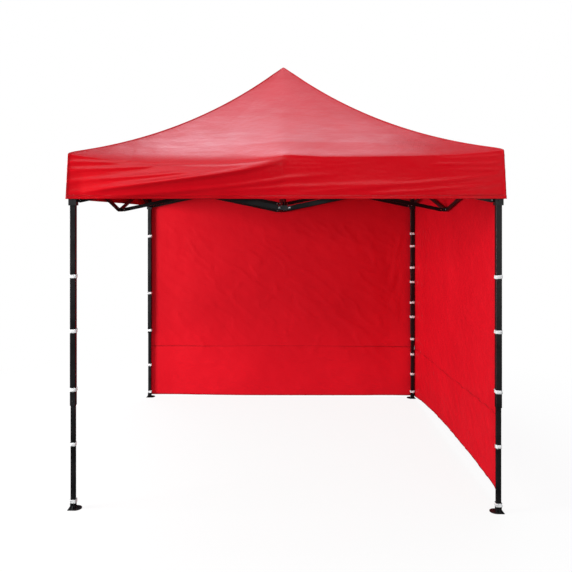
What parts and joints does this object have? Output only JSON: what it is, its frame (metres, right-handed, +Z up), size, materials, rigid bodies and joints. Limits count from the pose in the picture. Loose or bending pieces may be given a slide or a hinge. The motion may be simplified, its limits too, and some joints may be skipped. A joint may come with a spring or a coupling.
{
  "type": "pop up gazebo",
  "caption": "Folding square gazebo: scissor-truss frame on telescopic legs, peaked fabric canopy with valance, fabric walls on the back and right sides.",
  "frame": {"origin": "on the ground under the peak, at the centre of the square that the feet and canopy make", "axes": "+Z up, -Y towards the open front side, +X to the right side, which has a wall, as seen from the front; +Y to the back wall"},
  "size_m": [3.028, 3.038, 3.3893],
  "materials": {
    "canopy_fabric": "coated woven polyester with a soft sheen",
    "wall_fabric": "coated woven polyester",
    "black_paint": "satin black powder coat",
    "black_plastic": "fine moulded texture",
    "bare_steel": "zinc plated",
    "strap_webbing": "hook-and-loop webbing"
  },
  "bodies": {
    "upper_hub": {"upper_hub": "black_plastic"},
    "front_peak_upper_bar": {"front_peak_upper_bar": "black_paint"},
    "front_peak_lower_bar": {"front_peak_lower_bar": "black_paint"},
    "front_lower_side_bracket": {"front_lower_side_bracket": "black_plastic"},
    "front_upper_side_bracket": {"front_upper_side_bracket": "black_plastic"},
    "centre_pole": {"centre_pole": "black_paint"},
    "front_truss_right_upper_bar": {"front_truss_right_upper_bar": "black_paint"},
    "front_truss_right_lower_bar": {"front_truss_right_lower_bar": "black_paint"},
    "front_right_outer_leg": {"front_right_outer_leg": "black_paint"},
    "front_right_slider": {"front_right_slider": "black_plastic"},
    "front_truss_left_upper_bar": {"front_truss_left_upper_bar": "black_paint"},
    "front_truss_left_lower_bar": {"front_truss_left_lower_bar": "black_paint"},
    "front_left_outer_leg": {"front_left_outer_leg": "black_paint"},
    "front_left_slider": {"front_left_slider": "black_plastic"},
    "front_roof_panel": {"front_roof_panel": "canopy_fabric"},
    "right_peak_upper_bar": {"right_peak_upper_bar": "black_paint"},
    "right_peak_lower_bar": {"right_peak_lower_bar": "black_paint"},
    "right_lower_side_bracket": {"right_lower_side_bracket": "black_plastic"},
    "right_upper_side_bracket": {"right_upper_side_bracket": "black_plastic", "right_wall": "wall_fabric"},
    "right_truss_rear_upper_bar": {"right_truss_rear_upper_bar": "black_paint"},
    "right_truss_rear_lower_bar": {"right_truss_rear_lower_bar": "black_paint"},
    "right_truss_front_upper_bar": {"right_truss_front_upper_bar": "black_paint"},
    "right_truss_front_lower_bar": {"right_truss_front_lower_bar": "black_paint"},
    "right_roof_panel": {"right_roof_panel": "canopy_fabric"},
    "back_peak_upper_bar": {"back_peak_upper_bar": "black_paint"},
    "back_peak_lower_bar": {"back_peak_lower_bar": "black_paint"},
    "back_lower_side_bracket": {"back_lower_side_bracket": "black_plastic"},
    "back_upper_side_bracket": {"back_upper_side_bracket": "black_plastic", "back_wall": "wall_fabric"},
    "back_truss_left_upper_bar": {"back_truss_left_upper_bar": "black_paint"},
    "back_truss_left_lower_bar": {"back_truss_left_lower_bar": "black_paint"},
    "rear_left_outer_leg": {"rear_left_outer_leg": "black_paint"},
    "rear_left_slider": {"rear_left_slider": "black_plastic"},
    "back_truss_right_upper_bar": {"back_truss_right_upper_bar": "black_paint"},
    "back_truss_right_lower_bar": {"back_truss_right_lower_bar": "black_paint"},
    "rear_right_outer_leg": {"rear_right_outer_leg": "black_paint"},
    "rear_right_slider": {"rear_right_slider": "black_plastic"},
    "back_roof_panel": {"back_roof_panel": "canopy_fabric"},
    "left_peak_upper_bar": {"left_peak_upper_bar": "black_paint"},
    "left_peak_lower_bar": {"left_peak_lower_bar": "black_paint"},
    "left_lower_side_bracket": {"left_lower_side_bracket": "black_plastic"},
    "left_upper_side_bracket": {"left_upper_side_bracket": "black_plastic"},
    "left_truss_front_upper_bar": {"left_truss_front_upper_bar": "black_paint"},
    "left_truss_front_lower_bar": {"left_truss_front_lower_bar": "black_paint"},
    "left_truss_rear_upper_bar": {"left_truss_rear_upper_bar": "black_paint"},
    "left_truss_rear_lower_bar": {"left_truss_rear_lower_bar": "black_paint"},
    "left_roof_panel": {"left_roof_panel": "canopy_fabric"},
    "front_left_inner_leg": {"front_left_inner_leg": "black_paint"},
    "front_left_snap_button": {"front_left_snap_button": "bare_steel"},
    "front_left_slider_lock": {"front_left_slider_lock": "black_plastic"},
    "front_right_inner_leg": {"front_right_inner_leg": "black_paint"},
    "front_right_snap_button": {"front_right_snap_button": "bare_steel"},
    "front_right_slider_lock": {"front_right_slider_lock": "black_plastic"},
    "rear_right_inner_leg": {"rear_right_inner_leg": "black_paint"},
    "rear_right_snap_button": {"rear_right_snap_button": "bare_steel"},
    "rear_right_slider_lock": {"rear_right_slider_lock": "black_plastic"},
    "rear_left_inner_leg": {"rear_left_inner_leg": "black_paint"},
    "rear_left_snap_button": {"rear_left_snap_button": "bare_steel"},
    "rear_left_slider_lock": {"rear_left_slider_lock": "black_plastic"}
  },
  "joints": [
    {"name": "frame_fold", "type": "hinge", "parent": "upper_hub", "child": "front_peak_upper_bar", "pos_m": [0, -0.045, 2.39], "axis": [1, 0, 0], "range_deg": [0, 72], "deforming": ["front_roof_panel", "right_roof_panel", "right_wall", "back_roof_panel", "back_wall", "left_roof_panel"]},
    {"name": "front_lower_bracket_peak_pin", "type": "hinge", "parent": "front_peak_upper_bar", "child": "front_lower_side_bracket", "pos_m": [0, -1.439, 2.096], "axis": [1, 0, 0], "range_deg": [-72, 0]},
    {"name": "front_peak_crossing_pin", "type": "hinge", "parent": "front_peak_upper_bar", "child": "front_peak_lower_bar", "pos_m": [0, -0.61398, 2.27], "axis": [1, 0, 0], "range_deg": [-144, 0]},
    {"name": "front_upper_bracket_peak_pin", "type": "hinge", "parent": "front_peak_lower_bar", "child": "front_upper_side_bracket", "pos_m": [0, -1.439, 2.444], "axis": [1, 0, 0], "range_deg": [0, 72]},
    {"name": "centre_pole_pin", "type": "hinge", "parent": "front_peak_lower_bar", "child": "centre_pole", "pos_m": [0, -0.045, 2.15], "axis": [1, 0, 0], "range_deg": [0, 72]},
    {"name": "front_truss_right_bracket_pin", "type": "hinge", "parent": "front_lower_side_bracket", "child": "front_truss_right_upper_bar", "pos_m": [0.036, -1.475, 2.096], "axis": [0, -1, 0], "range_deg": [0, 72]},
    {"name": "front_truss_right_crossing_pin", "type": "hinge", "parent": "front_truss_right_upper_bar", "child": "front_truss_right_lower_bar", "pos_m": [0.86102, -1.475, 2.27], "axis": [0, -1, 0], "range_deg": [-144, 0]},
    {"name": "front_right_leg_pin", "type": "hinge", "parent": "front_truss_right_upper_bar", "child": "front_right_outer_leg", "pos_m": [1.43, -1.475, 2.39], "axis": [0, -1, 0], "range_deg": [-72, 0]},
    {"name": "front_right_slider_pin", "type": "hinge", "parent": "front_truss_right_lower_bar", "child": "front_right_slider", "pos_m": [1.43, -1.475, 2.15], "axis": [0, -1, 0], "range_deg": [0, 72]},
    {"name": "front_truss_left_bracket_pin", "type": "hinge", "parent": "front_lower_side_bracket", "child": "front_truss_left_upper_bar", "pos_m": [-0.036, -1.475, 2.096], "axis": [0, 1, 0], "range_deg": [0, 72]},
    {"name": "front_truss_left_crossing_pin", "type": "hinge", "parent": "front_truss_left_upper_bar", "child": "front_truss_left_lower_bar", "pos_m": [-0.86102, -1.475, 2.27], "axis": [0, 1, 0], "range_deg": [-144, 0]},
    {"name": "front_left_leg_pin", "type": "hinge", "parent": "front_truss_left_upper_bar", "child": "front_left_outer_leg", "pos_m": [-1.43, -1.475, 2.39], "axis": [0, 1, 0], "range_deg": [-72, 0]},
    {"name": "front_left_slider_pin", "type": "hinge", "parent": "front_truss_left_lower_bar", "child": "front_left_slider", "pos_m": [-1.43, -1.475, 2.15], "axis": [0, 1, 0], "range_deg": [0, 72]},
    {"name": "front_roof_swing", "type": "hinge", "parent": "upper_hub", "child": "front_roof_panel", "pos_m": [0, 0.624, 2.6085], "axis": [1, 0, 0], "range_deg": [0, 57.6]},
    {"name": "right_peak_upper_pin", "type": "hinge", "parent": "upper_hub", "child": "right_peak_upper_bar", "pos_m": [0.045, 0, 2.39], "axis": [0, 1, 0], "range_deg": [0, 72]},
    {"name": "right_lower_bracket_peak_pin", "type": "hinge", "parent": "right_peak_upper_bar", "child": "right_lower_side_bracket", "pos_m": [1.439, 0, 2.096], "axis": [0, 1, 0], "range_deg": [-72, 0]},
    {"name": "right_peak_crossing_pin", "type": "hinge", "parent": "right_peak_upper_bar", "child": "right_peak_lower_bar", "pos_m": [0.61398, 0, 2.27], "axis": [0, 1, 0], "range_deg": [-144, 0]},
    {"name": "right_upper_bracket_peak_pin", "type": "hinge", "parent": "right_peak_lower_bar", "child": "right_upper_side_bracket", "pos_m": [1.439, 0, 2.444], "axis": [0, 1, 0], "range_deg": [0, 72]},
    {"name": "right_truss_rear_bracket_pin", "type": "hinge", "parent": "right_lower_side_bracket", "child": "right_truss_rear_upper_bar", "pos_m": [1.475, 0.036, 2.096], "axis": [1, 0, 0], "range_deg": [0, 72]},
    {"name": "right_truss_rear_crossing_pin", "type": "hinge", "parent": "right_truss_rear_upper_bar", "child": "right_truss_rear_lower_bar", "pos_m": [1.475, 0.86102, 2.27], "axis": [1, 0, 0], "range_deg": [-144, 0]},
    {"name": "right_truss_front_bracket_pin", "type": "hinge", "parent": "right_lower_side_bracket", "child": "right_truss_front_upper_bar", "pos_m": [1.475, -0.036, 2.096], "axis": [-1, 0, 0], "range_deg": [0, 72]},
    {"name": "right_truss_front_crossing_pin", "type": "hinge", "parent": "right_truss_front_upper_bar", "child": "right_truss_front_lower_bar", "pos_m": [1.475, -0.86102, 2.27], "axis": [-1, 0, 0], "range_deg": [-144, 0]},
    {"name": "right_roof_swing", "type": "hinge", "parent": "upper_hub", "child": "right_roof_panel", "pos_m": [-0.624, 0, 2.6085], "axis": [0, 1, 0], "range_deg": [0, 57.6]},
    {"name": "back_peak_upper_pin", "type": "hinge", "parent": "upper_hub", "child": "back_peak_upper_bar", "pos_m": [0, 0.045, 2.39], "axis": [-1, 0, 0], "range_deg": [0, 72]},
    {"name": "back_lower_bracket_peak_pin", "type": "hinge", "parent": "back_peak_upper_bar", "child": "back_lower_side_bracket", "pos_m": [0, 1.439, 2.096], "axis": [-1, 0, 0], "range_deg": [-72, 0]},
    {"name": "back_peak_crossing_pin", "type": "hinge", "parent": "back_peak_upper_bar", "child": "back_peak_lower_bar", "pos_m": [0, 0.61398, 2.27], "axis": [-1, 0, 0], "range_deg": [-144, 0]},
    {"name": "back_upper_bracket_peak_pin", "type": "hinge", "parent": "back_peak_lower_bar", "child": "back_upper_side_bracket", "pos_m": [0, 1.439, 2.444], "axis": [-1, 0, 0], "range_deg": [0, 72]},
    {"name": "back_truss_left_bracket_pin", "type": "hinge", "parent": "back_lower_side_bracket", "child": "back_truss_left_upper_bar", "pos_m": [-0.036, 1.475, 2.096], "axis": [0, 1, 0], "range_deg": [0, 72]},
    {"name": "back_truss_left_crossing_pin", "type": "hinge", "parent": "back_truss_left_upper_bar", "child": "back_truss_left_lower_bar", "pos_m": [-0.86102, 1.475, 2.27], "axis": [0, 1, 0], "range_deg": [-144, 0]},
    {"name": "rear_left_leg_pin", "type": "hinge", "parent": "back_truss_left_upper_bar", "child": "rear_left_outer_leg", "pos_m": [-1.43, 1.475, 2.39], "axis": [0, 1, 0], "range_deg": [-72, 0]},
    {"name": "rear_left_slider_pin", "type": "hinge", "parent": "back_truss_left_lower_bar", "child": "rear_left_slider", "pos_m": [-1.43, 1.475, 2.15], "axis": [0, 1, 0], "range_deg": [0, 72]},
    {"name": "back_truss_right_bracket_pin", "type": "hinge", "parent": "back_lower_side_bracket", "child": "back_truss_right_upper_bar", "pos_m": [0.036, 1.475, 2.096], "axis": [0, -1, 0], "range_deg": [0, 72]},
    {"name": "back_truss_right_crossing_pin", "type": "hinge", "parent": "back_truss_right_upper_bar", "child": "back_truss_right_lower_bar", "pos_m": [0.86102, 1.475, 2.27], "axis": [0, -1, 0], "range_deg": [-144, 0]},
    {"name": "rear_right_leg_pin", "type": "hinge", "parent": "back_truss_right_upper_bar", "child": "rear_right_outer_leg", "pos_m": [1.43, 1.475, 2.39], "axis": [0, -1, 0], "range_deg": [-72, 0]},
    {"name": "rear_right_slider_pin", "type": "hinge", "parent": "back_truss_right_lower_bar", "child": "rear_right_slider", "pos_m": [1.43, 1.475, 2.15], "axis": [0, -1, 0], "range_deg": [0, 72]},
    {"name": "back_roof_swing", "type": "hinge", "parent": "upper_hub", "child": "back_roof_panel", "pos_m": [0, -0.624, 2.6085], "axis": [-1, 0, 0], "range_deg": [0, 57.6]},
    {"name": "left_peak_upper_pin", "type": "hinge", "parent": "upper_hub", "child": "left_peak_upper_bar", "pos_m": [-0.045, 0, 2.39], "axis": [0, -1, 0], "range_deg": [0, 72]},
    {"name": "left_lower_bracket_peak_pin", "type": "hinge", "parent": "left_peak_upper_bar", "child": "left_lower_side_bracket", "pos_m": [-1.439, 0, 2.096], "axis": [0, -1, 0], "range_deg": [-72, 0]},
    {"name": "left_peak_crossing_pin", "type": "hinge", "parent": "left_peak_upper_bar", "child": "left_peak_lower_bar", "pos_m": [-0.61398, 0, 2.27], "axis": [0, -1, 0], "range_deg": [-144, 0]},
    {"name": "left_upper_bracket_peak_pin", "type": "hinge", "parent": "left_peak_lower_bar", "child": "left_upper_side_bracket", "pos_m": [-1.439, 0, 2.444], "axis": [0, -1, 0], "range_deg": [0, 72]},
    {"name": "left_truss_front_bracket_pin", "type": "hinge", "parent": "left_lower_side_bracket", "child": "left_truss_front_upper_bar", "pos_m": [-1.475, -0.036, 2.096], "axis": [-1, 0, 0], "range_deg": [0, 72]},
    {"name": "left_truss_front_crossing_pin", "type": "hinge", "parent": "left_truss_front_upper_bar", "child": "left_truss_front_lower_bar", "pos_m": [-1.475, -0.86102, 2.27], "axis": [-1, 0, 0], "range_deg": [-144, 0]},
    {"name": "left_truss_rear_bracket_pin", "type": "hinge", "parent": "left_lower_side_bracket", "child": "left_truss_rear_upper_bar", "pos_m": [-1.475, 0.036, 2.096], "axis": [1, 0, 0], "range_deg": [0, 72]},
    {"name": "left_truss_rear_crossing_pin", "type": "hinge", "parent": "left_truss_rear_upper_bar", "child": "left_truss_rear_lower_bar", "pos_m": [-1.475, 0.86102, 2.27], "axis": [1, 0, 0], "range_deg": [-144, 0]},
    {"name": "left_roof_swing", "type": "hinge", "parent": "upper_hub", "child": "left_roof_panel", "pos_m": [0.624, 0, 2.6085], "axis": [0, -1, 0], "range_deg": [0, 57.6]},
    {"name": "front_left_leg_slide", "type": "slide", "parent": "front_left_outer_leg", "child": "front_left_inner_leg", "axis": [0, 0, 1], "range_m": [0, 0.64], "deforming": ["front_left_snap_button"]},
    {"name": "front_left_snap_button_press", "type": "slide", "parent": "front_left_inner_leg", "child": "front_left_snap_button", "axis": [0, 1, 0], "range_m": [0, 0.0065], "stiffness_N_per_m": 1200, "springref_m": -0.003},
    {"name": "front_left_slider_lock_press", "type": "slide", "parent": "front_left_slider", "child": "front_left_slider_lock", "axis": [1, 0, 0], "range_m": [0, 0.004], "stiffness_N_per_m": 1500, "springref_m": -0.003},
    {"name": "front_right_leg_slide", "type": "slide", "parent": "front_right_outer_leg", "child": "front_right_inner_leg", "axis": [0, 0, 1], "range_m": [0, 0.64], "deforming": ["front_right_snap_button"]},
    {"name": "front_right_snap_button_press", "type": "slide", "parent": "front_right_inner_leg", "child": "front_right_snap_button", "axis": [-1, 0, 0], "range_m": [0, 0.0065], "stiffness_N_per_m": 1200, "springref_m": -0.003},
    {"name": "front_right_slider_lock_press", "type": "slide", "parent": "front_right_slider", "child": "front_right_slider_lock", "axis": [0, 1, 0], "range_m": [0, 0.004], "stiffness_N_per_m": 1500, "springref_m": -0.003},
    {"name": "rear_right_leg_slide", "type": "slide", "parent": "rear_right_outer_leg", "child": "rear_right_inner_leg", "axis": [0, 0, 1], "range_m": [0, 0.64], "deforming": ["rear_right_snap_button"]},
    {"name": "rear_right_snap_button_press", "type": "slide", "parent": "rear_right_inner_leg", "child": "rear_right_snap_button", "axis": [0, -1, 0], "range_m": [0, 0.0065], "stiffness_N_per_m": 1200, "springref_m": -0.003},
    {"name": "rear_right_slider_lock_press", "type": "slide", "parent": "rear_right_slider", "child": "rear_right_slider_lock", "axis": [-1, 0, 0], "range_m": [0, 0.004], "stiffness_N_per_m": 1500, "springref_m": -0.003},
    {"name": "rear_left_leg_slide", "type": "slide", "parent": "rear_left_outer_leg", "child": "rear_left_inner_leg", "axis": [0, 0, 1], "range_m": [0, 0.64], "deforming": ["rear_left_snap_button"]},
    {"name": "rear_left_snap_button_press", "type": "slide", "parent": "rear_left_inner_leg", "child": "rear_left_snap_button", "axis": [1, 0, 0], "range_m": [0, 0.0065], "stiffness_N_per_m": 1200, "springref_m": -0.003},
    {"name": "rear_left_slider_lock_press", "type": "slide", "parent": "rear_left_slider", "child": "rear_left_slider_lock", "axis": [0, -1, 0], "range_m": [0, 0.004], "stiffness_N_per_m": 1500, "springref_m": -0.003}
  ],
  "couplings": [
    {"joint": "front_lower_bracket_peak_pin", "follows": "frame_fold", "ratio": -1},
    {"joint": "front_peak_crossing_pin", "follows": "frame_fold", "ratio": -2},
    {"joint": "front_upper_bracket_peak_pin", "follows": "frame_fold", "ratio": 1},
    {"joint": "centre_pole_pin", "follows": "frame_fold", "ratio": 1},
    {"joint": "front_truss_right_bracket_pin", "follows": "frame_fold", "ratio": 1},
    {"joint": "front_truss_right_crossing_pin", "follows": "frame_fold", "ratio": -2},
    {"joint": "front_right_leg_pin", "follows": "frame_fold", "ratio": -1},
    {"joint": "front_right_slider_pin", "follows": "frame_fold", "ratio": 1},
    {"joint": "front_truss_left_bracket_pin", "follows": "frame_fold", "ratio": 1},
    {"joint": "front_truss_left_crossing_pin", "follows": "frame_fold", "ratio": -2},
    {"joint": "front_left_leg_pin", "follows": "frame_fold", "ratio": -1},
    {"joint": "front_left_slider_pin", "follows": "frame_fold", "ratio": 1},
    {"joint": "front_roof_swing", "follows": "frame_fold", "ratio": 0.8},
    {"joint": "right_peak_upper_pin", "follows": "frame_fold", "ratio": 1},
    {"joint": "right_lower_bracket_peak_pin", "follows": "frame_fold", "ratio": -1},
    {"joint": "right_peak_crossing_pin", "follows": "frame_fold", "ratio": -2},
    {"joint": "right_upper_bracket_peak_pin", "follows": "frame_fold", "ratio": 1},
    {"joint": "right_truss_rear_bracket_pin", "follows": "frame_fold", "ratio": 1},
    {"joint": "right_truss_rear_crossing_pin", "follows": "frame_fold", "ratio": -2},
    {"joint": "right_truss_front_bracket_pin", "follows": "frame_fold", "ratio": 1},
    {"joint": "right_truss_front_crossing_pin", "follows": "frame_fold", "ratio": -2},
    {"joint": "right_roof_swing", "follows": "frame_fold", "ratio": 0.8},
    {"joint": "back_peak_upper_pin", "follows": "frame_fold", "ratio": 1},
    {"joint": "back_lower_bracket_peak_pin", "follows": "frame_fold", "ratio": -1},
    {"joint": "back_peak_crossing_pin", "follows": "frame_fold", "ratio": -2},
    {"joint": "back_upper_bracket_peak_pin", "follows": "frame_fold", "ratio": 1},
    {"joint": "back_truss_left_bracket_pin", "follows": "frame_fold", "ratio": 1},
    {"joint": "back_truss_left_crossing_pin", "follows": "frame_fold", "ratio": -2},
    {"joint": "rear_left_leg_pin", "follows": "frame_fold", "ratio": -1},
    {"joint": "rear_left_slider_pin", "follows": "frame_fold", "ratio": 1},
    {"joint": "back_truss_right_bracket_pin", "follows": "frame_fold", "ratio": 1},
    {"joint": "back_truss_right_crossing_pin", "follows": "frame_fold", "ratio": -2},
    {"joint": "rear_right_leg_pin", "follows": "frame_fold", "ratio": -1},
    {"joint": "rear_right_slider_pin", "follows": "frame_fold", "ratio": 1},
    {"joint": "back_roof_swing", "follows": "frame_fold", "ratio": 0.8},
    {"joint": "left_peak_upper_pin", "follows": "frame_fold", "ratio": 1},
    {"joint": "left_lower_bracket_peak_pin", "follows": "frame_fold", "ratio": -1},
    {"joint": "left_peak_crossing_pin", "follows": "frame_fold", "ratio": -2},
    {"joint": "left_upper_bracket_peak_pin", "follows": "frame_fold", "ratio": 1},
    {"joint": "left_truss_front_bracket_pin", "follows": "frame_fold", "ratio": 1},
    {"joint": "left_truss_front_crossing_pin", "follows": "frame_fold", "ratio": -2},
    {"joint": "left_truss_rear_bracket_pin", "follows": "frame_fold", "ratio": 1},
    {"joint": "left_truss_rear_crossing_pin", "follows": "frame_fold", "ratio": -2},
    {"joint": "left_roof_swing", "follows": "frame_fold", "ratio": 0.8}
  ]
}
